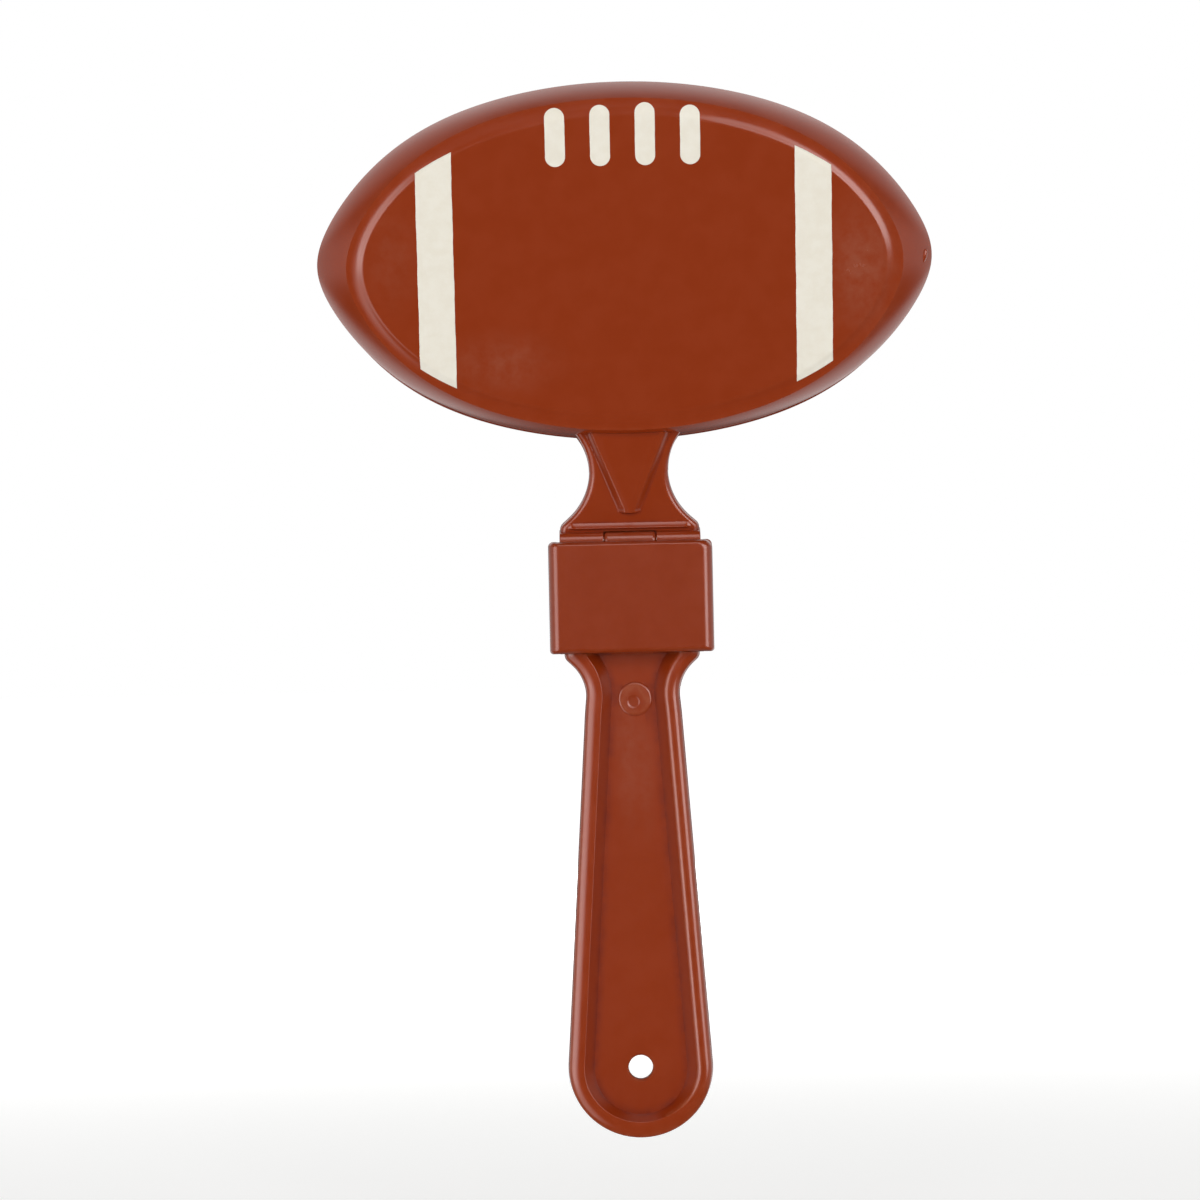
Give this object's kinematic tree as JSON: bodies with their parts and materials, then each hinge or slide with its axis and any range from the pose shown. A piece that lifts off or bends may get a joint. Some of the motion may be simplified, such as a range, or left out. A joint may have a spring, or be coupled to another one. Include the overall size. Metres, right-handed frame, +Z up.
{
  "type": "football clapper",
  "caption": "Hand-held clapper noisemaker: hollow football-shaped paddles swing on pins at a cuff and strike a flat board that rises from a long grip with a hang hole.",
  "frame": {"origin": "centre of the hang hole in the round end of the grip", "axes": "+Z up the handle to the footballs, -Y out of the front paddle's face, X across the footballs from tip to tip"},
  "size_m": [0.109, 0.0474, 0.1885],
  "materials": {
    "brown_plastic": "moulded, semi-gloss, scuffed by handling",
    "cream_ink": "printed, matt",
    "pin_steel": "drawn wire"
  },
  "bodies": {
    "handle": {"handle": "brown_plastic", "front_cuff": "brown_plastic", "rear_cuff": "brown_plastic", "front_hinge_pin": "pin_steel", "rear_hinge_pin": "pin_steel"},
    "front_paddle": {"front_paddle": "brown_plastic", "front_stripes": "cream_ink", "front_laces": "cream_ink"},
    "rear_paddle": {"rear_paddle": "brown_plastic", "rear_stripes": "cream_ink", "rear_laces": "cream_ink"}
  },
  "joints": [
    {"name": "front_paddle_swing", "type": "hinge", "parent": "handle", "child": "front_paddle", "pos_m": [0, -0.0048, 0.0946], "axis": [1, 0, 0], "range_deg": [-12, 0]},
    {"name": "rear_paddle_swing", "type": "hinge", "parent": "handle", "child": "rear_paddle", "pos_m": [0, 0.0048, 0.0946], "axis": [-1, 0, 0], "range_deg": [-12, 0]}
  ]
}
